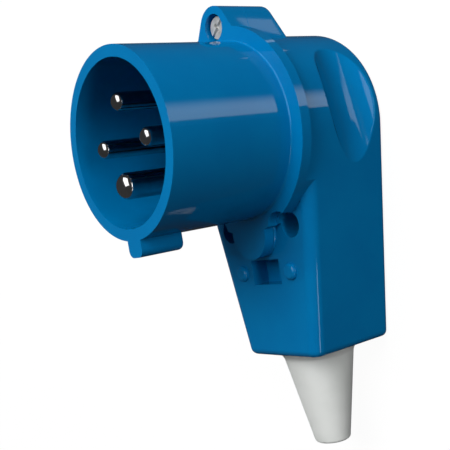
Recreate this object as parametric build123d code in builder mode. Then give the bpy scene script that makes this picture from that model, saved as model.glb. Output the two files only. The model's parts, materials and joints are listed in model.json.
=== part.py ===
from build123d import *
import math
import os

# Angled plug for industrial sockets, four pins, 16 A size, in millimetres.
# The origin is the centre of the shroud's mouth. The pins point along +Z, the cable leaves along -Y,
# and the plug lies on the flat back of its housing.

# Shroud moulding
shroud_radius = 25.0
shroud_wall = 3.12
shroud_length = 37.0
flange_radius = 29.1
flange_thickness = 3.1
flange_root_fillet = 0.5
notch_radius = 4.25
tongue_radius = 7.15
tongue_centre_drop = 29.2
spigot_length = 4.9
spigot_wall = 1.5
ledge_setback = 0.5
ledge_thickness = 1.5
ledge_overhang = 1.3

# Key under the shroud
key_half_width = 3.15
key_reach = 29.3
key_length = 13.3
key_corner_radius = 2.0
key_end_round = 1.2

# Screw ear, half on the shroud and half on the housing
screw_pocket_radius = 3.85
screw_pocket_depth = 3.4
pocket_to_tube = 0.75
ear_wall = 2.15
ear_flank_angle = 30.7
ear_foot_run = 9.6
ear_seam_setback = 3.6
ear_seam_tilt = 20.4
ear_length = 15.0
ear_back_round = 1.1
ear_seam_bevel = 0.15

# Housing moulding
head_radius = 26.1
housing_wall = 2.8
hub_step = 2.9
face_step = 1.1
grip_thickness = 29.7
grip_taper = 10.1
grip_bottom_drop = 65.4
grip_front_round = 3.4
foot_round = 2.1
edge_round = 1.8
window_half_width = 6.05
window_top_drop = 37.15
window_height = 7.1
window_depth = 5.4
window_wall = 1.8
bump_spread = 10.65
bump_drop = 40.75
bump_radius = 2.4
bump_neck = 0.25
bump_crown = 1.05
pad_round = 0.9

# Finger recess on each side of the head
recess_depth = 4.8
recess_half_width = 8.8
recess_to_back = 11.5
recess_turn = 9.6
recess_reach = 26.0
recess_rim_round = 0.8

# Cable sleeve
sleeve_axis_offset = 0.1
sleeve_length = 28.3
sleeve_tip_radius = 5.2
sleeve_slope = 0.197
sleeve_tip_round = 0.9
sleeve_flare_margin = 3.35
sleeve_flare_height = 2.6
sleeve_lip_margin = 0.2
sleeve_lip_step = 1.3
sleeve_lip_thickness = 2.2
sleeve_throat_wall = 2.3
cable_bore_radius = 4.0
cable_bore_length = 9.0

# Pins and their terminals
pin_pitch_radius = 10.83
line_pin_radius = 2.5
earth_pin_radius = 3.5
line_tip_depth = 0.75
earth_tip_depth = -1.6
pin_tip_round_share = 0.8
pin_root_step = 0.3
pin_collar_radius = 4.9
pin_collar_length = 2.2
terminal_radius = 3.7
terminal_length = 9.5
wire_hole_radius = 1.9
wire_hole_length = 8.6
terminal_screw_radius = 1.75
terminal_screw_length = 4.4
terminal_screw_setback = 5.7
terminal_screw_reach = 1.0
terminal_slot_width = 0.7
terminal_slot_depth = 0.9

# Contact carrier and the plate behind it
carrier_proud = 0.5
carrier_flange_thickness = 3.5
plate_thickness = 2.0
plate_radius = 18.6
plate_screw_radius = 1.6
plate_screw_length = 6.0
plate_screw_head_radius = 3.0
plate_screw_head_height = 1.8
carrier_rib_width = 3.0
carrier_rib_reach = 18.9
carrier_rib_angles = (45, 135)

# Housing screw
screw_shank_radius = 1.6
screw_head_radius = 3.1
screw_head_height = 2.0
screw_length = 9.6
screw_slot_width = 0.9
screw_slot_depth = 0.9
screw_cross_reach = 1.6
screw_slot_turn = 40

# Cable clamp, reached through the two round holes
clamp_hole_spread = 13.4
clamp_hole_drop = 28.0
clamp_hole_radius = 3.55
clamp_seat_lead = 1.95
clamp_tower_wall = 1.8
clamp_floor_thickness = 2.0
clamp_screw_radius = 1.9
clamp_screw_head_radius = 3.3
clamp_screw_head_height = 2.6
clamp_screw_stand_out = 0.6
clamped_cable_radius = 5.0
clamp_jaw_lead = 2.55
clamp_jaw_width = 7.0
clamp_bar_setback = 2.45
clamp_bar_thickness = 4.6
clamp_bar_overhang = 3.2
clamp_bar_width = 9.4
nut_half_width = 3.2
nut_thickness = 2.4
nut_pocket = 1.4

# Sealing ring between flange and housing
seal_inner_radius = 24.05
seal_width = 1.1
seal_thickness = 1.2

# Clearances
loose_fit = 0.1
close_fit = 0.05

# Places that follow from the sizes above
hub_radius = head_radius + hub_step
shroud_bore = shroud_radius - shroud_wall
flange_back = shroud_length + flange_thickness
grip_face = flange_back + face_step
back_depth = grip_face + grip_thickness
ledge_depth = shroud_length - ledge_setback
carrier_face_depth = ledge_depth - carrier_proud
ear_axis_height = shroud_radius + screw_pocket_radius + pocket_to_tube
ear_radius = screw_pocket_radius + ear_wall
ear_foot_height = ear_axis_height - ear_foot_run
ear_back_depth = flange_back + ear_length
ear_seam_depth = flange_back + ear_seam_setback
screw_seat_depth = shroud_length + screw_pocket_depth
recess_centre_depth = back_depth - recess_to_back
sleeve_axis_depth = grip_face + grip_thickness / 2 - sleeve_axis_offset
sleeve_exit_drop = grip_bottom_drop + sleeve_length
clamp_seat_depth = sleeve_axis_depth - clamp_seat_lead
clamp_jaw_depth = sleeve_axis_depth - clamp_jaw_lead
clamp_bar_depth = sleeve_axis_depth + clamp_bar_setback
clamp_bar_half_length = clamp_hole_spread + clamp_bar_overhang
nut_front = clamp_bar_depth + clamp_bar_thickness - nut_pocket
clamp_screw_length = nut_front + nut_thickness + clamp_screw_stand_out - clamp_seat_depth
head_bore = head_radius - housing_wall
spigot_radius = head_bore - loose_fit
spigot_bore = spigot_radius - spigot_wall
ledge_bore = shroud_bore - ledge_overhang
ledge_back = ledge_depth + ledge_thickness
taper = math.radians(grip_taper)
foot_inside = head_bore / math.cos(taper) - (grip_bottom_drop - housing_wall) * math.tan(taper)
sleeve_room = min(foot_inside, grip_thickness / 2 - housing_wall - sleeve_axis_offset)
sleeve_lip_radius = sleeve_room - sleeve_lip_margin
sleeve_neck_radius = sleeve_lip_radius - sleeve_lip_step
sleeve_throat_radius = sleeve_neck_radius - sleeve_throat_wall
sleeve_flare_radius = sleeve_room + housing_wall - sleeve_flare_margin
seam_tilt = math.radians(ear_seam_tilt)
seam_plane = Plane(
    origin=(0, ear_axis_height, -ear_seam_depth),
    x_dir=(1, 0, 0),
    z_dir=(0, math.sin(seam_tilt), math.cos(seam_tilt)),
)
towards_back = (0, 0, -1)
clamp_hole_spots = [(-clamp_hole_spread, -clamp_hole_drop), (clamp_hole_spread, -clamp_hole_drop)]
bump_spots = [(-bump_spread, -bump_drop), (bump_spread, -bump_drop)]

# One row for each pin: name, place on the pitch circle in degrees, radius and depth of its tip
pins = [
    ("line_pin_1", 90, line_pin_radius, line_tip_depth),
    ("line_pin_2", 0, line_pin_radius, line_tip_depth),
    ("line_pin_3", 180, line_pin_radius, line_tip_depth),
    ("earth_pin", 270, earth_pin_radius, earth_tip_depth),
]


def pin_place(angle):
    turn = math.radians(angle)
    return (pin_pitch_radius * math.cos(turn), pin_pitch_radius * math.sin(turn))


def body_outline(inset):
    """Round head with two tangent sides that taper down to the foot of the grip."""
    radius = head_radius - inset
    foot = grip_bottom_drop - inset
    side = (radius * math.cos(taper), -radius * math.sin(taper))
    foot_half = radius / math.cos(taper) - foot * math.tan(taper)
    with BuildSketch() as outline:
        Circle(radius)
        with BuildLine():
            Polyline(side, (foot_half, -foot), (-foot_half, -foot), (-side[0], side[1]), close=True)
        make_face()
    return outline.sketch


def ear_outline():
    """Round lug with two tangent flanks that run down into the head."""
    lean = math.radians(ear_flank_angle)
    side = (ear_radius * math.cos(lean), ear_axis_height + ear_radius * math.sin(lean))
    run = (side[1] - ear_foot_height) / math.cos(lean)
    foot_half = side[0] + run * math.sin(lean)
    with BuildSketch() as outline:
        with Locations((0, ear_axis_height)):
            Circle(ear_radius)
        with BuildLine():
            Polyline(
                side,
                (foot_half, ear_foot_height),
                (-foot_half, ear_foot_height),
                (-side[0], side[1]),
                close=True,
            )
        make_face()
    return outline.sketch


def tongue_outline():
    """Round-ended tongue under the flange."""
    with BuildSketch() as outline:
        with Locations((0, -tongue_centre_drop)):
            Circle(tongue_radius)
        with Locations((0, -(tongue_centre_drop + shroud_bore) / 2)):
            Rectangle(2 * tongue_radius, tongue_centre_drop - shroud_bore)
    return outline.sketch


def save(solid, name):
    solid.label = name
    export_step(solid, "parts/" + name + ".step")


os.makedirs("parts", exist_ok=True)
outer_face = body_outline(0)
inner_face = body_outline(housing_wall)
ear_face = ear_outline()
tongue_face = tongue_outline()

# Shroud: tube, notched flange, tongue, front half of the ear, key and rear spigot
with BuildPart() as shroud_ear:
    with BuildSketch(Plane.XY.offset(-shroud_length)):
        add(ear_face)
    extrude(amount=ear_back_depth - shroud_length, dir=towards_back)
    split(bisect_by=seam_plane, keep=Keep.TOP)
    with BuildSketch(Plane.XY.offset(-flange_back)):
        Circle(head_radius + loose_fit)
    extrude(amount=ear_back_depth - flange_back, dir=towards_back, mode=Mode.SUBTRACT)

with BuildPart() as key:
    with BuildSketch() as key_outline:
        with Locations((0, -(key_reach + shroud_bore + 1) / 2)):
            Rectangle(2 * key_half_width, key_reach - shroud_bore - 1)
        fillet(key_outline.vertices().group_by(Axis.Y)[0], radius=key_corner_radius)
    extrude(amount=key_length, dir=towards_back)
    key_end = key.faces().sort_by(Axis.Z)[0].edges()
    fillet([edge for edge in key_end if edge.center().Y < -shroud_radius], radius=key_end_round)

with BuildPart() as shroud:
    with BuildSketch():
        Circle(shroud_radius)
    extrude(amount=flange_back, dir=towards_back)
    with BuildSketch(Plane.XY.offset(-shroud_length)):
        Circle(flange_radius)
        with Locations(*clamp_hole_spots):
            Circle(notch_radius, mode=Mode.SUBTRACT)
        add(tongue_face)
    extrude(amount=flange_thickness, dir=towards_back)
    add(shroud_ear.part)
    with BuildSketch(Plane.XY.offset(-flange_back)):
        Circle(spigot_radius)
    extrude(amount=spigot_length, dir=towards_back)
    add(key.part)
    with BuildSketch():
        Circle(shroud_bore)
    extrude(amount=ledge_depth, dir=towards_back, mode=Mode.SUBTRACT)
    with BuildSketch(Plane.XY.offset(-ledge_depth)):
        Circle(ledge_bore)
    extrude(amount=ledge_thickness, dir=towards_back, mode=Mode.SUBTRACT)
    with BuildSketch(Plane.XY.offset(-ledge_back)):
        Circle(spigot_bore)
    extrude(amount=flange_back + spigot_length - ledge_back, dir=towards_back, mode=Mode.SUBTRACT)
    with BuildSketch(Plane.XY.offset(-shroud_length)):
        with Locations((0, ear_axis_height)):
            Circle(screw_pocket_radius)
    extrude(amount=screw_seat_depth - shroud_length, dir=towards_back, mode=Mode.SUBTRACT)
    with BuildSketch(Plane.XY.offset(-screw_seat_depth)):
        with Locations((0, ear_axis_height)):
            Circle(screw_shank_radius + loose_fit)
    extrude(amount=ear_back_depth - screw_seat_depth, dir=towards_back, mode=Mode.SUBTRACT)
    root = [
        edge
        for edge in shroud.edges().filter_by(GeomType.CIRCLE)
        if abs(edge.radius - shroud_radius) < 0.01 and abs(edge.center().Z + shroud_length) < 0.01
    ]
    fillet(root, radius=flange_root_fillet)
save(shroud.part, "shroud")

# Finger recess: a straight round cutter laid across the side of the head
recess_cutter_radius = (recess_half_width**2 + recess_depth**2) / (2 * recess_depth)


def recess_cutter(grow):
    """Straight bar of round section, whose lowest line is the floor of the recess."""
    turn = math.radians(recess_turn)
    reach = head_radius - recess_depth + recess_cutter_radius
    middle = (reach * math.cos(turn), reach * math.sin(turn), -recess_centre_depth)
    with BuildPart() as cutter:
        with BuildSketch(Plane(origin=middle, x_dir=(0, 0, 1), z_dir=(-math.sin(turn), math.cos(turn), 0))):
            Circle(recess_cutter_radius + grow)
        extrude(amount=recess_reach, both=True)
    return cutter.part


# Housing: head, grip and rear half of the ear in one moulding
with BuildPart() as housing_ear:
    with BuildSketch(Plane.XY.offset(-flange_back)):
        add(ear_face)
    extrude(amount=ear_back_depth - flange_back, dir=towards_back)
    ear_rim = housing_ear.faces().sort_by(Axis.Z)[0].edges()
    fillet([edge for edge in ear_rim if edge.center().Y > ear_foot_height + 1], radius=ear_back_round)
    split(bisect_by=seam_plane, keep=Keep.BOTTOM)
    ear_seam_edges = housing_ear.faces().sort_by(Axis.Z)[-1].edges()
    chamfer([edge for edge in ear_seam_edges if edge.center().Y > ear_foot_height + 1], length=ear_seam_bevel)

recess_right = recess_cutter(0)
recess_left = mirror(recess_right, about=Plane.YZ, mode=Mode.PRIVATE)
recess_wall_right = recess_cutter(housing_wall)
recess_wall_left = mirror(recess_wall_right, about=Plane.YZ, mode=Mode.PRIVATE)

# Ribs that press the contact carrier against its ledge
rib_front = ledge_back + carrier_flange_thickness + close_fit
rib_step = flange_back + spigot_length + 2 * loose_fit
rib_end = head_bore + housing_wall / 2
with BuildPart() as carrier_ribs:
    with BuildSketch(Plane.XY.offset(-rib_step)):
        for angle in carrier_rib_angles:
            with Locations(Plane.XY.rotated((0, 0, angle))):
                with Locations(((carrier_rib_reach + rib_end) / 2, 0)):
                    Rectangle(rib_end - carrier_rib_reach, carrier_rib_width)
    extrude(amount=back_depth - housing_wall - rib_step, dir=towards_back)
    with BuildSketch(Plane.XY.offset(-rib_step)):
        with Locations((0, -(carrier_rib_reach + clamp_hole_drop) / 2)):
            Rectangle(carrier_rib_width, clamp_hole_drop - carrier_rib_reach)
    extrude(amount=sleeve_axis_depth - clamped_cable_radius - rib_step, dir=towards_back)
    with BuildSketch(Plane.XY.offset(-rib_front)):
        for angle in carrier_rib_angles + (270,):
            with Locations(Plane.XY.rotated((0, 0, angle))):
                with Locations(((carrier_rib_reach + spigot_bore - 4 * loose_fit) / 2, 0)):
                    Rectangle(spigot_bore - 4 * loose_fit - carrier_rib_reach, carrier_rib_width)
    extrude(amount=rib_step - rib_front, dir=towards_back)

# Hollow of the housing, with the walls of the recesses, window and clamp holes left standing
with BuildPart() as hollow:
    with BuildSketch(Plane.XY.offset(-flange_back)):
        Circle(head_bore)
    extrude(amount=back_depth - housing_wall - flange_back, dir=towards_back)
    with BuildSketch(Plane.XY.offset(-grip_face - housing_wall)):
        add(inner_face)
    extrude(amount=back_depth - grip_face - 2 * housing_wall, dir=towards_back)
    add(recess_wall_right, mode=Mode.SUBTRACT)
    add(recess_wall_left, mode=Mode.SUBTRACT)
    with BuildSketch(Plane.XY.offset(-grip_face)):
        with Locations((0, -window_top_drop - window_height / 2)):
            Rectangle(2 * (window_half_width + window_wall), window_height + 2 * window_wall)
    extrude(amount=window_depth + window_wall, dir=towards_back, mode=Mode.SUBTRACT)
    with BuildSketch(Plane.XY.offset(-grip_face)):
        with Locations(*clamp_hole_spots):
            Circle(clamp_hole_radius + clamp_tower_wall)
    extrude(amount=clamp_seat_depth + clamp_floor_thickness - grip_face, dir=towards_back, mode=Mode.SUBTRACT)
    with BuildSketch(Plane.XY.offset(-grip_face)):
        with Locations((0, -clamp_hole_drop)):
            Rectangle(2 * clamp_hole_spread, clamp_jaw_width)
    extrude(
        amount=clamp_jaw_depth - grip_face,
        dir=towards_back,
        mode=Mode.SUBTRACT,
    )
    with BuildSketch(Plane.XZ.offset(clamp_hole_drop - clamp_jaw_width / 2)):
        with Locations((0, -sleeve_axis_depth)):
            Circle(clamped_cable_radius)
    extrude(amount=clamp_jaw_width)

with BuildPart() as housing:
    with BuildSketch(Plane.XY.offset(-grip_face)):
        add(outer_face)
    extrude(amount=back_depth - grip_face, dir=towards_back)
    with BuildSketch(Plane.XY.offset(-flange_back)):
        add(outer_face)
        Circle(hub_radius, mode=Mode.INTERSECT)
    extrude(amount=face_step, dir=towards_back)
    grip_edges = [
        edge
        for edge in housing.edges().filter_by(GeomType.LINE)
        if abs(edge.center().Z + grip_face) < 0.01 and abs(edge.center().X) > window_half_width
    ]
    fillet(grip_edges, radius=grip_front_round)
    foot_edges = housing.faces().sort_by(Axis.Y)[0].edges()
    fillet([edge for edge in foot_edges if edge.center().Z > 0.1 - back_depth], radius=foot_round)
    fillet(housing.faces().sort_by(Axis.Z)[0].edges(), radius=edge_round)
    with BuildSketch(Plane.XY.offset(-flange_back)):
        add(tongue_face)
    extrude(amount=face_step, dir=towards_back)
    pad_rim = [
        edge
        for edge in housing.edges()
        if abs(edge.center().Z + flange_back) < 0.01 and edge.center().Y < -hub_radius
    ]
    fillet(pad_rim, radius=pad_round)
    add(housing_ear.part)
    add(recess_right, mode=Mode.SUBTRACT)
    add(recess_left, mode=Mode.SUBTRACT)
    recess_faces = [
        face
        for face in housing.faces().filter_by(GeomType.CYLINDER)
        if abs(face.center().Z + recess_centre_depth) < 2 and abs(face.radius - recess_cutter_radius) < 0.01
    ]
    for recess_face in recess_faces:
        fillet(recess_face.edges(), radius=recess_rim_round)
    add(hollow.part, mode=Mode.SUBTRACT)
    add(carrier_ribs.part)
    with BuildSketch(Plane.XY.offset(-grip_face)):
        with Locations((0, -window_top_drop - window_height / 2)):
            Rectangle(2 * window_half_width, window_height)
    extrude(amount=window_depth, dir=towards_back, mode=Mode.SUBTRACT)
    with BuildSketch(Plane.XY.offset(-flange_back)):
        with Locations(*clamp_hole_spots):
            Circle(clamp_hole_radius)
    extrude(amount=clamp_seat_depth - flange_back, dir=towards_back, mode=Mode.SUBTRACT)
    with BuildSketch(Plane.XY.offset(-clamp_seat_depth)):
        with Locations(*clamp_hole_spots):
            Circle(clamp_screw_radius + 3 * loose_fit)
    extrude(amount=clamp_floor_thickness, dir=towards_back, mode=Mode.SUBTRACT)
    with BuildSketch(Plane.XY.offset(-grip_face)):
        with Locations(*bump_spots):
            Circle(bump_radius)
    extrude(amount=bump_neck)
    with BuildSketch(Plane.XY.offset(-grip_face + bump_neck)):
        with Locations(*bump_spots):
            Circle(bump_radius)
    extrude(amount=bump_crown)
    bump_top = bump_neck + bump_crown - grip_face
    bump_rims = [edge for edge in housing.edges() if abs(edge.center().Z - bump_top) < 0.01]
    fillet(bump_rims, radius=bump_crown * 0.98)
    with BuildSketch(Plane.XZ.offset(grip_bottom_drop)):
        with Locations((0, -sleeve_axis_depth)):
            Circle(sleeve_neck_radius + loose_fit)
    extrude(amount=housing_wall, dir=(0, 1, 0), mode=Mode.SUBTRACT)
    with BuildSketch(Plane.XY.offset(-flange_back)):
        Circle(seal_inner_radius + seal_width + close_fit)
        Circle(seal_inner_radius - close_fit, mode=Mode.SUBTRACT)
    extrude(amount=seal_thickness, dir=towards_back, mode=Mode.SUBTRACT)
    with BuildSketch(Plane.XY.offset(-flange_back)):
        with Locations((0, ear_axis_height)):
            Circle(screw_shank_radius + close_fit)
    extrude(amount=screw_seat_depth + screw_length + 1 - flange_back, dir=towards_back, mode=Mode.SUBTRACT)
save(housing.part, "housing")

# Sealing ring in the groove of the housing's front rim
with BuildPart() as sealing_ring:
    with BuildSketch(Plane.XY.offset(-flange_back)):
        Circle(seal_inner_radius + seal_width)
        Circle(seal_inner_radius, mode=Mode.SUBTRACT)
    extrude(amount=seal_thickness, dir=towards_back)
save(sealing_ring.part, "sealing_ring")

# Pins, each turned in one piece with its collar and terminal
carrier_back = ledge_back + carrier_flange_thickness
collar_front = carrier_back - pin_collar_length
terminal_end_depth = carrier_back + terminal_length
terminal_screw_depth = carrier_back + terminal_screw_setback
for name, angle, radius, tip_depth in pins:
    x, y = pin_place(angle)
    outward = Vector(math.cos(math.radians(angle)), math.sin(math.radians(angle)), 0)
    with BuildPart() as pin:
        with BuildSketch(Plane.XY.offset(-tip_depth)):
            with Locations((x, y)):
                Circle(radius)
        extrude(amount=collar_front - tip_depth, dir=towards_back)
        with BuildSketch(Plane.XY.offset(-carrier_face_depth)):
            with Locations((x, y)):
                Circle(radius + pin_root_step)
        extrude(amount=collar_front - carrier_face_depth, dir=towards_back)
        with BuildSketch(Plane.XY.offset(-collar_front)):
            with Locations((x, y)):
                Circle(pin_collar_radius)
        extrude(amount=pin_collar_length, dir=towards_back)
        with BuildSketch(Plane.XY.offset(-carrier_back)):
            with Locations((x, y)):
                Circle(terminal_radius)
        extrude(amount=terminal_end_depth - carrier_back, dir=towards_back)
        with BuildSketch(Plane.XY.offset(-terminal_end_depth)):
            with Locations((x, y)):
                Circle(wire_hole_radius)
        extrude(amount=wire_hole_length, mode=Mode.SUBTRACT)
        with BuildSketch(Plane(origin=(x, y, -terminal_screw_depth), z_dir=outward)):
            Circle(terminal_screw_radius + close_fit)
        extrude(amount=terminal_radius, mode=Mode.SUBTRACT)
        fillet(pin.faces().sort_by(Axis.Z)[-1].edges(), radius=radius * pin_tip_round_share)
    save(pin.part, name)

# Terminal screws, one in the outer side of each terminal
for number, (name, angle, radius, tip_depth) in enumerate(pins, start=1):
    turn = math.radians(angle)
    outward = Vector(math.cos(turn), math.sin(turn), 0)
    head_reach = pin_pitch_radius + terminal_radius + terminal_screw_reach
    head = outward * head_reach + Vector(0, 0, -terminal_screw_depth)
    head_plane = Plane(origin=head, x_dir=(0, 0, 1), z_dir=outward)
    with BuildPart() as terminal_screw:
        with BuildSketch(head_plane):
            Circle(terminal_screw_radius)
        extrude(amount=-terminal_screw_length)
        with BuildSketch(head_plane):
            Rectangle(3 * terminal_screw_radius, terminal_slot_width)
        extrude(amount=-terminal_slot_depth, mode=Mode.SUBTRACT)
    save(terminal_screw.part, "terminal_screw_" + str(number))

# Contact carrier: disc against the ledge, with a seat for each pin's collar
pin_spots = [pin_place(angle) for name, angle, radius, tip_depth in pins]
with BuildPart() as contact_carrier:
    with BuildSketch(Plane.XY.offset(-carrier_face_depth)):
        Circle(ledge_bore - loose_fit)
    extrude(amount=ledge_back - carrier_face_depth, dir=towards_back)
    with BuildSketch(Plane.XY.offset(-ledge_back)):
        Circle(spigot_bore - loose_fit)
    extrude(amount=carrier_flange_thickness, dir=towards_back)
    for name, angle, radius, tip_depth in pins:
        with BuildSketch(Plane.XY.offset(-carrier_face_depth)):
            with Locations(pin_place(angle)):
                Circle(radius + pin_root_step + close_fit)
        extrude(amount=carrier_back - carrier_face_depth, dir=towards_back, mode=Mode.SUBTRACT)
    with BuildSketch(Plane.XY.offset(-collar_front)):
        with Locations(*pin_spots):
            Circle(pin_collar_radius + close_fit)
    extrude(amount=pin_collar_length, dir=towards_back, mode=Mode.SUBTRACT)
    with BuildSketch(Plane.XY.offset(-carrier_back)):
        Circle(plate_screw_radius + close_fit)
    extrude(amount=plate_screw_length - plate_thickness + 3 * loose_fit, mode=Mode.SUBTRACT)
save(contact_carrier.part, "contact_carrier")

# Plate that holds the collars of the pins in the carrier
with BuildPart() as pin_retaining_plate:
    with BuildSketch(Plane.XY.offset(-carrier_back)):
        Circle(plate_radius)
        with Locations(*pin_spots):
            Circle(terminal_radius + loose_fit, mode=Mode.SUBTRACT)
        Circle(plate_screw_radius + loose_fit, mode=Mode.SUBTRACT)
    extrude(amount=plate_thickness, dir=towards_back)
save(pin_retaining_plate.part, "pin_retaining_plate")

plate_back = carrier_back + plate_thickness
with BuildPart() as plate_screw:
    with BuildSketch(Plane.XY.offset(-plate_back)):
        Circle(plate_screw_head_radius)
    extrude(amount=plate_screw_head_height, dir=towards_back)
    with BuildSketch(Plane.XY.offset(-plate_back)):
        Circle(plate_screw_radius)
    extrude(amount=plate_screw_length)
    with BuildSketch(Plane.XY.offset(-plate_back - plate_screw_head_height)):
        Rectangle(3 * plate_screw_head_radius, terminal_slot_width)
    extrude(amount=terminal_slot_depth, mode=Mode.SUBTRACT)
save(plate_screw.part, "plate_screw")

# Screw that joins the ear of the shroud to the ear of the housing
with BuildPart() as housing_screw:
    with BuildSketch(Plane.XY.offset(-screw_seat_depth)):
        with Locations((0, ear_axis_height)):
            Circle(screw_head_radius)
    extrude(amount=screw_head_height)
    with BuildSketch(Plane.XY.offset(-screw_seat_depth)):
        with Locations((0, ear_axis_height)):
            Circle(screw_shank_radius)
    extrude(amount=screw_length, dir=towards_back)
    with BuildSketch(Plane.XY.offset(-screw_seat_depth + screw_head_height)):
        with Locations((0, ear_axis_height)):
            Rectangle(3 * screw_head_radius, screw_slot_width, rotation=screw_slot_turn)
            Rectangle(2 * screw_cross_reach, screw_slot_width, rotation=screw_slot_turn + 90)
    extrude(amount=-screw_slot_depth, mode=Mode.SUBTRACT)
save(housing_screw.part, "housing_screw")

# Cable clamp: a bar behind the cable, two screws through the round holes and their nuts
with BuildPart() as cable_clamp_bar:
    with BuildSketch(Plane.XY.offset(-clamp_bar_depth)):
        with Locations((0, -clamp_hole_drop)):
            RectangleRounded(2 * clamp_bar_half_length, clamp_bar_width, 2)
        with Locations(*clamp_hole_spots):
            Circle(clamp_screw_radius + 2 * loose_fit, mode=Mode.SUBTRACT)
    extrude(amount=clamp_bar_thickness, dir=towards_back)
    with BuildSketch(Plane.XY.offset(-clamp_bar_depth - clamp_bar_thickness)):
        with Locations(*clamp_hole_spots):
            Rectangle(2 * (nut_half_width + loose_fit), 2 * (nut_half_width + loose_fit))
    extrude(amount=nut_pocket, mode=Mode.SUBTRACT)
    with BuildSketch(Plane.XZ.offset(clamp_hole_drop - clamp_bar_width / 2)):
        with Locations((0, -sleeve_axis_depth)):
            Circle(clamped_cable_radius)
    extrude(amount=clamp_bar_width, mode=Mode.SUBTRACT)
save(cable_clamp_bar.part, "cable_clamp_bar")

for number, spot in enumerate(clamp_hole_spots, start=1):
    with BuildPart() as clamp_screw:
        with BuildSketch(Plane.XY.offset(-clamp_seat_depth)):
            with Locations(spot):
                Circle(clamp_screw_head_radius)
        extrude(amount=clamp_screw_head_height)
        with BuildSketch(Plane.XY.offset(-clamp_seat_depth)):
            with Locations(spot):
                Circle(clamp_screw_radius)
        extrude(amount=clamp_screw_length, dir=towards_back)
        with BuildSketch(Plane.XY.offset(-clamp_seat_depth + clamp_screw_head_height)):
            with Locations(spot):
                Rectangle(3 * clamp_screw_head_radius, screw_slot_width)
        extrude(amount=-screw_slot_depth, mode=Mode.SUBTRACT)
    save(clamp_screw.part, "clamp_screw_" + str(number))
    with BuildPart() as clamp_nut:
        with BuildSketch(Plane.XY.offset(-nut_front)):
            with Locations(spot):
                Rectangle(2 * nut_half_width, 2 * nut_half_width)
                Circle(clamp_screw_radius + close_fit, mode=Mode.SUBTRACT)
        extrude(amount=nut_thickness, dir=towards_back)
    save(clamp_nut.part, "clamp_nut_" + str(number))

# Cable sleeve: a tapered spout with a groove that snaps into the foot of the grip
sleeve_exit_radius = sleeve_tip_radius
flare_foot = grip_bottom_drop + sleeve_flare_height
flare_foot_radius = sleeve_exit_radius + sleeve_slope * (sleeve_exit_drop - flare_foot)
wall_inside = grip_bottom_drop - housing_wall
lip_start = wall_inside - 2 * close_fit
sleeve_inlet = lip_start - sleeve_lip_thickness
sleeve_axis = Axis((0, 0, -sleeve_axis_depth), (0, -1, 0))
with BuildPart() as cable_sleeve:
    with BuildSketch(Plane(origin=(0, 0, -sleeve_axis_depth), x_dir=(1, 0, 0), z_dir=(0, 0, 1))):
        with BuildLine():
            Polyline(
                (flare_foot_radius, -flare_foot),
                (sleeve_exit_radius, -sleeve_exit_drop),
                (cable_bore_radius, -sleeve_exit_drop),
                (cable_bore_radius, -sleeve_exit_drop + cable_bore_length),
                (sleeve_throat_radius, -sleeve_inlet),
                (sleeve_lip_radius, -sleeve_inlet),
                (sleeve_lip_radius, -lip_start),
                (sleeve_neck_radius, -lip_start),
                (sleeve_neck_radius, -grip_bottom_drop - close_fit),
                (sleeve_flare_radius, -grip_bottom_drop - close_fit),
            )
            Spline(
                (sleeve_flare_radius, -grip_bottom_drop - close_fit),
                (flare_foot_radius, -flare_foot),
                tangents=((-0.1, -1), (-sleeve_slope, -1)),
            )
        make_face()
    revolve(axis=sleeve_axis)
    tip_edges = cable_sleeve.edges().group_by(Axis.Y)[0]
    tip_edges = [edge for edge in tip_edges if abs(edge.radius - sleeve_exit_radius) < 0.01]
    fillet(tip_edges, radius=sleeve_tip_round)
save(cable_sleeve.part, "cable_sleeve")
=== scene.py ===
import bpy
import json
from mathutils import Matrix, Vector


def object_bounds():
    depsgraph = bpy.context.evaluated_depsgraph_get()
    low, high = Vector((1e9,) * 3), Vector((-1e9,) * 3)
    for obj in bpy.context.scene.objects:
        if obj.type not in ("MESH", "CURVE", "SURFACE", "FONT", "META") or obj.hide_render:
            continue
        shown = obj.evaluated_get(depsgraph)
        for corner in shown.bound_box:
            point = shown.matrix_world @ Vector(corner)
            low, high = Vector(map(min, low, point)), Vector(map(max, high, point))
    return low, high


# An angled four-pole plug, lying on the flat back of its housing with its pins up.
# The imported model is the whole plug, and this script gives it materials, light and a camera.
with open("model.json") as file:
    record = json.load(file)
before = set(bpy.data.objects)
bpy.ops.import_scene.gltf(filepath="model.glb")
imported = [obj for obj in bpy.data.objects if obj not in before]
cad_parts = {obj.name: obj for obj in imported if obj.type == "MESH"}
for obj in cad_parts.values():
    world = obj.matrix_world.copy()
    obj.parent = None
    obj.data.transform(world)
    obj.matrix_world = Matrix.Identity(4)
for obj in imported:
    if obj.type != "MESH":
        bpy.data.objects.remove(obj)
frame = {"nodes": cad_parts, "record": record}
boxAtStart = [list(corner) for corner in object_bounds()]
nodes = frame["nodes"]
scene = bpy.context.scene
scene.view_settings.view_transform = "Standard"
print("plug: frame loaded,", len(nodes), "pieces")


# A socket that can stand in an expression: each operator adds a Math node
class Wire:
    def __init__(self, paint, socket):
        self.paint = paint
        self.socket = socket

    def maths(self, operation, first, second):
        return self.paint.node("ShaderNodeMath", {"operation": operation}, {0: first, 1: second})

    def __add__(self, other):
        return self.maths("ADD", self, other)

    def __radd__(self, other):
        return self.maths("ADD", other, self)

    def __sub__(self, other):
        return self.maths("SUBTRACT", self, other)

    def __rsub__(self, other):
        return self.maths("SUBTRACT", other, self)

    def __mul__(self, other):
        return self.maths("MULTIPLY", self, other)

    def __rmul__(self, other):
        return self.maths("MULTIPLY", other, self)


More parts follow.
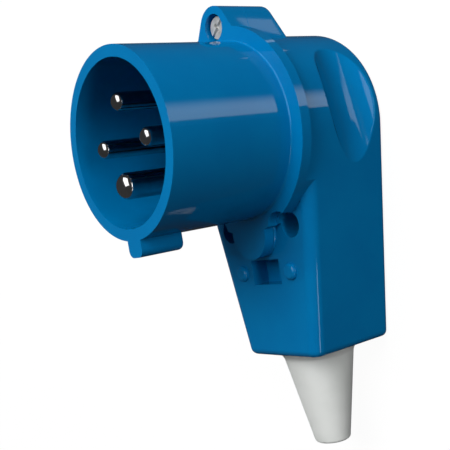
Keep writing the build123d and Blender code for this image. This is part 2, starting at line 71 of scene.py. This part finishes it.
# The nodes of one material, or of the world
class Paint:
    def __init__(self, owner):
        self.owner = owner
        owner.use_nodes = True
        self.tree = owner.node_tree
        self.tree.nodes.clear()

    # Adds a node: its settings come first, then the values or links of its sockets
    def node(self, kind, settings=None, inputs=None, out=0):
        made = self.tree.nodes.new(kind)
        for key, value in (settings or {}).items():
            setattr(made, key, value)
        for key, value in (inputs or {}).items():
            if isinstance(value, Wire):
                self.tree.links.new(value.socket, made.inputs[key])
            else:
                made.inputs[key].default_value = value
        return Wire(self, made.outputs[out]) if len(made.outputs) else None

    def shown(self, shader):
        isWorld = isinstance(self.owner, bpy.types.World)
        kind = "ShaderNodeOutputWorld" if isWorld else "ShaderNodeOutputMaterial"
        self.node(kind, None, {"Surface": shader})
        return self.owner


def grey(level):
    return (level, level, level, 1)


def smoothed(paint, value, low, high):
    return paint.node(
        "ShaderNodeMapRange",
        {"interpolation_type": "SMOOTHSTEP"},
        {"Value": value, "From Min": low, "From Max": high},
    )


def mixedColour(paint, factor, low, high):
    inputs = {"Factor": factor, "A": low, "B": high}
    return paint.node("ShaderNodeMix", {"data_type": "RGBA"}, inputs, "Result")


def mixedShader(paint, factor, first, second):
    return paint.node("ShaderNodeMixShader", None, {"Fac": factor, 1: first, 2: second})


def noise(paint, place, scale, detail):
    return paint.node("ShaderNodeTexNoise", None, {"Vector": place, "Scale": scale, "Detail": detail})


bumpDepth = 0.001  # metres for a height of 1
noiseMiddle = 0.5


def bumped(paint, height, strength):
    inputs = {"Height": height, "Strength": strength, "Distance": bumpDepth}
    return paint.node("ShaderNodeBump", None, inputs)


# Moulded plastic or rubber: faint clouds in the colour, a fine grain and shallow waves in the surface
def mouldedPlastic(name, look):
    paint = Paint(bpy.data.materials.new(name))
    place = paint.node("ShaderNodeTexCoord", None, None, "Object")
    clouds = noise(paint, place, look["cloudScale"], look["cloudDetail"])
    grain = noise(paint, place, look["grainScale"], look["grainDetail"])
    waves = noise(paint, place, look["waveScale"], look["waveDetail"])
    cloudy = smoothed(paint, clouds, *look["cloudEdges"])
    patches = (clouds - noiseMiddle) * look["roughnessSwing"]
    speckle = (grain - noiseMiddle) * look["grainRoughness"]
    height = grain * look["grainHeight"] + waves * look["waveHeight"]
    surface = paint.node(
        "ShaderNodeBsdfPrincipled",
        None,
        {
            "Base Color": mixedColour(paint, cloudy, look["colourLow"], look["colourHigh"]),
            "Roughness": look["roughness"] + patches + speckle,
            "Normal": bumped(paint, height, look["bump"]),
            "IOR": look["ior"],
        },
    )
    return paint.shown(surface)


bluePlasticLook = {
    "colourLow": (0.0, 0.156, 0.394, 1),
    "colourHigh": (0.0, 0.168, 0.412, 1),
    "cloudScale": 60.0,
    "cloudDetail": 3.0,
    "cloudEdges": (0.35, 0.65),
    "roughness": 0.07,
    "roughnessSwing": 0.03,
    "grainScale": 2600.0,
    "grainDetail": 2.0,
    "grainRoughness": 0.02,
    "grainHeight": 0.002,
    "waveScale": 90.0,
    "waveDetail": 1.0,
    "waveHeight": 0.004,
    "bump": 0.2,
    "ior": 1.33,
}
darkPlasticLook = dict(
    bluePlasticLook,
    colourLow=(0.003, 0.012, 0.03, 1),
    colourHigh=(0.004, 0.016, 0.04, 1),
    roughness=0.45,
)
sleeveLook = dict(
    bluePlasticLook,
    colourLow=(0.73, 0.755, 0.73, 1),
    colourHigh=(0.79, 0.81, 0.79, 1),
    cloudScale=70.0,
    roughness=0.55,
    roughnessSwing=0.08,
    grainScale=1800.0,
    grainRoughness=0.1,
    grainHeight=0.03,
    waveScale=120.0,
    waveHeight=0.03,
    bump=0.3,
    ior=1.45,
)
sealLook = dict(
    sleeveLook,
    colourLow=(0.012, 0.012, 0.013, 1),
    colourHigh=(0.02, 0.02, 0.02, 1),
    roughness=0.7,
)


# Metal: spots in its colour and gloss, and marks of drawing or turning across the pins' axis
def workedMetal(name, look):
    paint = Paint(bpy.data.materials.new(name))
    place = paint.node("ShaderNodeTexCoord", None, None, "Object")
    stretched = paint.node("ShaderNodeMapping", None, {"Vector": place, "Scale": look["stretch"]})
    marks = noise(paint, stretched, look["markScale"], look["markDetail"])
    spots = noise(paint, place, look["spotScale"], look["spotDetail"])
    spotted = smoothed(paint, spots, *look["spotEdges"])
    surface = paint.node(
        "ShaderNodeBsdfPrincipled",
        None,
        {
            "Base Color": mixedColour(paint, spotted, look["colourLow"], look["colourHigh"]),
            "Metallic": look["metallic"],
            "Roughness": look["roughness"] + (spots - noiseMiddle) * look["roughnessSwing"],
            "Normal": bumped(paint, marks * look["markHeight"], look["bump"]),
        },
    )
    return paint.shown(surface)


pinLook = {
    "colourLow": (0.36, 0.36, 0.365, 1),
    "colourHigh": (0.44, 0.44, 0.445, 1),
    "metallic": 1.0,
    "roughness": 0.12,
    "roughnessSwing": 0.06,
    "stretch": (1.0, 1.0, 12.0),
    "markScale": 900.0,
    "markDetail": 4.0,
    "markHeight": 0.01,
    "spotScale": 300.0,
    "spotDetail": 3.0,
    "spotEdges": (0.3, 0.7),
    "bump": 0.2,
}
screwLook = dict(
    pinLook,
    colourLow=(0.50, 0.50, 0.48, 1),
    colourHigh=(0.64, 0.64, 0.62, 1),
    metallic=0.35,
    roughness=0.36,
    roughnessSwing=0.12,
    stretch=(1.0, 1.0, 6.0),
    markScale=1500.0,
    markHeight=0.03,
    spotScale=500.0,
    bump=0.3,
)

finishes = {
    "blue_plastic": mouldedPlastic("bluePlastic", bluePlasticLook),
    "dark_plastic": mouldedPlastic("darkPlastic", darkPlasticLook),
    "grey_sleeve": mouldedPlastic("greySleeve", sleeveLook),
    "seal_rubber": mouldedPlastic("sealRubber", sealLook),
    "polished_pin": workedMetal("darkNickelPins", pinLook),
    "plated_steel": workedMetal("platedScrews", screwLook),
}
finishOfNode = {entry["node"]: finishes[entry["material_slot"]] for entry in frame["record"]["subparts"]}
for nodeName, piece in nodes.items():
    for slot in piece.material_slots:
        slot.material = finishOfNode[nodeName]
print("plug:", len(finishes), "materials made")

# The photograph's camera looks down on the plug, rolled so that the cable end is at the bottom
cameraView = {
    "place": (0.18128, -0.01907, 0.10667),
    "right": (0.5957, -0.1674, -0.7856),
    "up": (0.0792, 0.9855, -0.1500),
    "lens": 65.70,
    "sensor": 36.0,
    "nearest": 0.005,
    "farthest": 20.0,
}


def makeCamera(view):
    right = Vector(view["right"]).normalized()
    up = Vector(view["up"])
    up = (up - right * up.dot(right)).normalized()
    back = right.cross(up)
    turn = Matrix((right, up, back)).transposed().to_4x4()
    lens = bpy.data.cameras.new("photoCamera")
    lens.lens = view["lens"]
    lens.sensor_width = view["sensor"]
    lens.clip_start = view["nearest"]
    lens.clip_end = view["farthest"]
    camera = bpy.data.objects.new("photoCamera", lens)
    camera.matrix_world = Matrix.Translation(view["place"]) @ turn
    scene.collection.objects.link(camera)
    scene.camera = camera


makeCamera(cameraView)
print("plug: camera placed")


def stagePiece(name, points, faces):
    mesh = bpy.data.meshes.new(name)
    mesh.from_pydata(points, [], faces)
    piece = bpy.data.objects.new(name, mesh)
    scene.collection.objects.link(piece)
    return piece


def rays(paint, kind):
    return paint.node("ShaderNodeLightPath", None, None, kind)


# Where the white background shows: to the camera and through glass, and a share of it in reflections
def backgroundShare(paint, look):
    straight = rays(paint, "Is Camera Ray") + rays(paint, "Is Transmission Ray")
    return straight * look["straightShare"] + rays(paint, "Is Glossy Ray") * look["glossShare"]


# The floor touches the flat back of the plug. Light that bounces off it is kept low
floorLook = {
    "halfSide": 2.5,
    "height": boxAtStart[0][2],
    "shadeSeen": 0.8,
    "shadeBounced": 0.03,
    "bright": 1.03,
    "straightShare": 0.93,
    "glossShare": 0.005,
}


def makeFloor(look):
    side = look["halfSide"]
    outline = ((-side, -side), (side, -side), (side, side), (-side, side))
    corners = [(x, y, look["height"]) for x, y in outline]
    floor = stagePiece("floor", corners, [(0, 1, 2, 3)])
    paint = Paint(bpy.data.materials.new("paleFloor"))
    seen = rays(paint, "Is Camera Ray")
    shade = mixedColour(paint, seen, grey(look["shadeBounced"]), grey(look["shadeSeen"]))
    matt = paint.node("ShaderNodeBsdfDiffuse", None, {"Color": shade})
    lit = paint.node("ShaderNodeEmission", None, {"Color": grey(1.0), "Strength": look["bright"]})
    share = backgroundShare(paint, look)
    floor.data.materials.append(paint.shown(mixedShader(paint, share, matt, lit)))


makeFloor(floorLook)

# Room light: white where the camera looks, soft and low elsewhere
roomLook = {"soft": 0.035, "white": 1.0, "straightShare": 1.0, "glossShare": 0.03}


def makeRoom(look):
    scene.world = bpy.data.worlds.new("studio")
    paint = Paint(scene.world)
    soft = paint.node("ShaderNodeBackground", None, {"Color": grey(1.0), "Strength": look["soft"]})
    white = paint.node("ShaderNodeBackground", None, {"Color": grey(1.0), "Strength": look["white"]})
    paint.shown(mixedShader(paint, backgroundShare(paint, look), soft, white))


makeRoom(roomLook)
print("plug: floor and room made")

# Soft boxes round the plug: their direction and distance from its middle, their size and power
plugMiddle = Vector((0.0, -0.02, -0.035))
lamps = {
    "keySoftbox": {"towards": (0.22, 0.53, 0.82), "far": 0.75, "size": (0.60, 0.60), "watts": 7.4},
    "sideSoftbox": {"towards": (0.97, 0.14, 0.11), "far": 0.80, "size": (0.45, 0.18), "watts": 2.15},
    "farSoftbox": {"towards": (-0.95, 0.16, 0.20), "far": 0.80, "size": (0.60, 0.25), "watts": 2.4},
}


def makeLamp(name, lamp):
    light = bpy.data.lights.new(name, "AREA")
    light.shape = "RECTANGLE"
    light.size, light.size_y = lamp["size"]
    light.energy = lamp["watts"]
    stand = bpy.data.objects.new(name, light)
    towards = Vector(lamp["towards"]).normalized()
    stand.location = plugMiddle + towards * lamp["far"]
    stand.rotation_euler = towards.to_track_quat("Z", "Y").to_euler()
    stand.visible_glossy = False  # reflections show the cards below in place of the lamps
    scene.collection.objects.link(stand)


for lampName, lampLook in lamps.items():
    makeLamp(lampName, lampLook)
print("plug:", len(lamps), "lamps placed")

# Bright cards that only reflections show. Each has four corners, and is bright from its first edge
# up to fadeFrom, a share of the way to the edge across, where it starts to fade
cards = {
    "bandCard": {
        "corners": (
            (0.041, 0.0052, -0.0695),
            (0.150, 0.0323, -0.0695),
            (0.150, 0.1097, -0.0695),
            (0.041, 0.0197, -0.0695),
        ),
        "strength": 3.4,
        "fadeFrom": 0.35,
    },
    "earCard": {
        "corners": (
            (0.0137, 0.0629, -0.067),
            (0.0152, 0.0564, -0.067),
            (0.0137, 0.0400, -0.067),
            (0.0102, 0.0455, -0.067),
        ),
        "strength": 1.25,
        "fadeFrom": 1.0,
    },
    "keyCard": {
        "corners": ((0.20, -0.04, 0.73), (0.60, 0.00, 0.49), (0.27, 0.68, 0.29), (-0.26, 0.65, 0.36)),
        "strength": 3.2,
        "fadeFrom": 1.0,
    },
    "sideCard": {
        "corners": (
            (0.587, -0.185, 0.022),
            (0.570, -0.180, 0.085),
            (0.560, 0.170, 0.075),
            (0.573, 0.175, 0.001),
        ),
        "strength": 4.2,
        "fadeFrom": 1.0,
    },
    "edgeCard": {
        "corners": (
            (0.560, -0.269, -0.040),
            (0.553, -0.266, 0.040),
            (0.413, -0.448, 0.060),
            (0.427, -0.462, -0.040),
        ),
        "strength": 4.6,
        "fadeFrom": 1.0,
    },
}
cardRows = 24
fadeLength = 0.65
hiddenFrom = ("camera", "diffuse", "transmission", "volume_scatter", "shadow")


def makeCard(name, look):
    first, second, third, fourth = (Vector(corner) for corner in look["corners"])
    shares = [row / cardRows for row in range(cardRows + 1)]
    points = []
    for share in shares:
        points += [first.lerp(fourth, share), second.lerp(third, share)]
    faces = [(2 * row, 2 * row + 1, 2 * row + 3, 2 * row + 2) for row in range(cardRows)]
    card = stagePiece(name, points, faces)
    fade = card.data.attributes.new("fade", "FLOAT", "POINT")
    for row, share in enumerate(shares):
        fade.data[2 * row].value = share
        fade.data[2 * row + 1].value = share
    for kind in hiddenFrom:
        setattr(card, "visible_" + kind, False)
    paint = Paint(bpy.data.materials.new(name + "Light"))
    along = paint.node("ShaderNodeAttribute", {"attribute_name": "fade"}, None, "Fac")
    glow = 1 - smoothed(paint, along, look["fadeFrom"], look["fadeFrom"] + fadeLength)
    clear = paint.node("ShaderNodeBsdfTransparent")
    lit = paint.node("ShaderNodeEmission", None, {"Color": grey(1.0), "Strength": look["strength"]})
    card.data.materials.append(paint.shown(mixedShader(paint, glow, clear, lit)))


for cardName, cardLook in cards.items():
    makeCard(cardName, cardLook)
print("plug:", len(cards), "cards placed")
